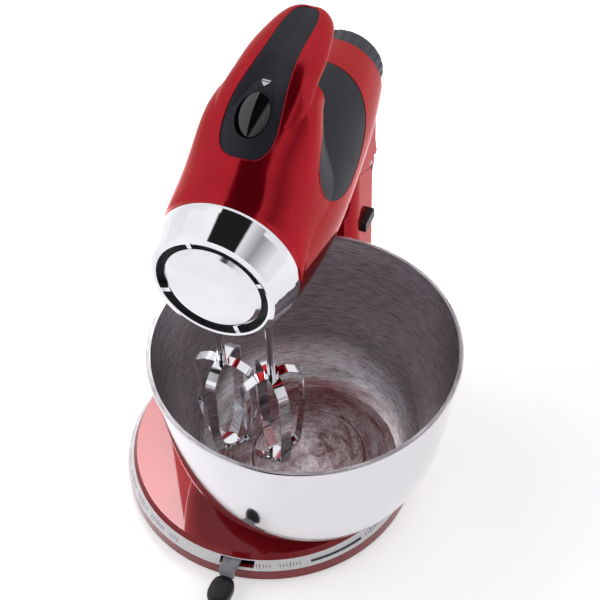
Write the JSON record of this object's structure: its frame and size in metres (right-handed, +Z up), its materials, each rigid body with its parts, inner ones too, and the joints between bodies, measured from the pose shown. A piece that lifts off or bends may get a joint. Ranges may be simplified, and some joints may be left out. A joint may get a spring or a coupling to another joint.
{
  "type": "stand mixer",
  "caption": "Tilt-head stand mixer with a turntable bowl, twin loop beaters, carrying handle and rear speed dial",
  "frame": {"origin": "under the centre of the round base, on the plane of the rubber feet", "axes": "+Z up, -Y towards the front of the mixer, +X to the right seen from the front"},
  "size_m": [0.2745, 0.3349, 0.3838],
  "materials": {
    "red_gloss": "deep red metallic gloss",
    "chrome": "bright plated",
    "stainless": "fine concentric brushing",
    "soft_grey": "soft-touch dark grey",
    "black_gloss": "polished black",
    "black_plastic": "fine textured black",
    "silver_band": "satin silver",
    "steel": "turned steel",
    "laminate": "varnished laminations",
    "copper": "enamelled copper",
    "bronze": "sintered bronze",
    "nylon": "natural nylon",
    "white_plastic": "plain moulded",
    "rubber": "soft rubber",
    "grey_plastic": "dark grey moulded"
  },
  "bodies": {
    "stand": {"base_shell": "red_gloss", "guide_band": "silver_band", "base_cover": "black_plastic", "base_screws": "steel", "rubber_feet": "rubber", "lever_pin": "steel", "column_shell": "red_gloss", "hinge_pin": "steel", "release_guide": "white_plastic"},
    "lever": {"shift_lever": "grey_plastic", "lever_knob": "black_plastic", "turntable_post": "steel"},
    "table": {"turntable": "black_plastic", "turntable_bush": "nylon", "bowl": "stainless"},
    "head": {"upper_housing": "red_gloss", "handle_grip": "soft_grey", "saddle_panel": "soft_grey", "lower_housing": "red_gloss", "front_bezel": "chrome", "front_medallion": "chrome", "slot_ribs": "chrome", "vent_ring": "black_plastic", "nose_frame": "black_plastic", "motor_stator": "laminate", "field_coils": "copper", "gear_case": "white_plastic", "front_bearing": "bronze", "middle_bearing": "bronze", "rear_bearing": "bronze", "motor_mount": "white_plastic", "rear_bracket": "white_plastic", "speed_switch": "black_plastic", "switch_mount": "white_plastic"},
    "armature": {"worm": "steel", "armature_shaft": "steel", "armature_core": "laminate", "commutator": "copper", "cooling_fan": "white_plastic"},
    "left_drive": {"left_wheel": "nylon", "left_spindle": "steel", "left_beater": "chrome", "beater_tip": "nylon"},
    "right_drive": {"right_wheel": "nylon", "right_spindle": "steel", "right_beater": "chrome"},
    "dial": {"speed_dial": "soft_grey", "dial_shaft": "steel"},
    "eject": {"eject_button": "black_gloss", "eject_rod": "steel", "eject_yoke": "white_plastic"},
    "release": {"tilt_release": "black_plastic"}
  },
  "joints": [
    {"name": "head_tilt", "type": "hinge", "parent": "stand", "child": "head", "pos_m": [0, 0.158, 0.206], "axis": [-1, 0, 0], "range_deg": [0, 45]},
    {"name": "armature_spin", "type": "hinge", "parent": "head", "child": "armature", "pos_m": [0, 0, 0.283], "axis": [0, 1, 0], "continuous": true},
    {"name": "left_beater_spin", "type": "hinge", "parent": "head", "child": "left_drive", "pos_m": [-0.02, -0.032, 0.283], "axis": [0, 0, 1], "continuous": true},
    {"name": "right_beater_spin", "type": "hinge", "parent": "head", "child": "right_drive", "pos_m": [0.02, -0.032, 0.283], "axis": [0, 0, 1], "continuous": true},
    {"name": "dial_turn", "type": "hinge", "parent": "head", "child": "dial", "pos_m": [0, 0.165, 0.283], "axis": [0, 1, 0], "range_deg": [0, 300]},
    {"name": "eject_press", "type": "slide", "parent": "head", "child": "eject", "axis": [0, 0, -1], "range_m": [0, 0.005], "stiffness_N_per_m": 400},
    {"name": "lever_swing", "type": "hinge", "parent": "stand", "child": "lever", "pos_m": [0.014, -0.09, 0.02], "axis": [0, 0, 1], "range_deg": [0, 20]},
    {"name": "bowl_spin", "type": "hinge", "parent": "lever", "child": "table", "pos_m": [0.038, -0.01, 0.03], "axis": [0, 0, 1], "continuous": true},
    {"name": "release_press", "type": "slide", "parent": "stand", "child": "release", "axis": [-1, 0, 0], "range_m": [0, 0.004], "stiffness_N_per_m": 400}
  ],
  "couplings": [
    {"joint": "left_beater_spin", "follows": "armature_spin", "ratio": 0.041667},
    {"joint": "right_beater_spin", "follows": "armature_spin", "ratio": -0.041667}
  ]
}
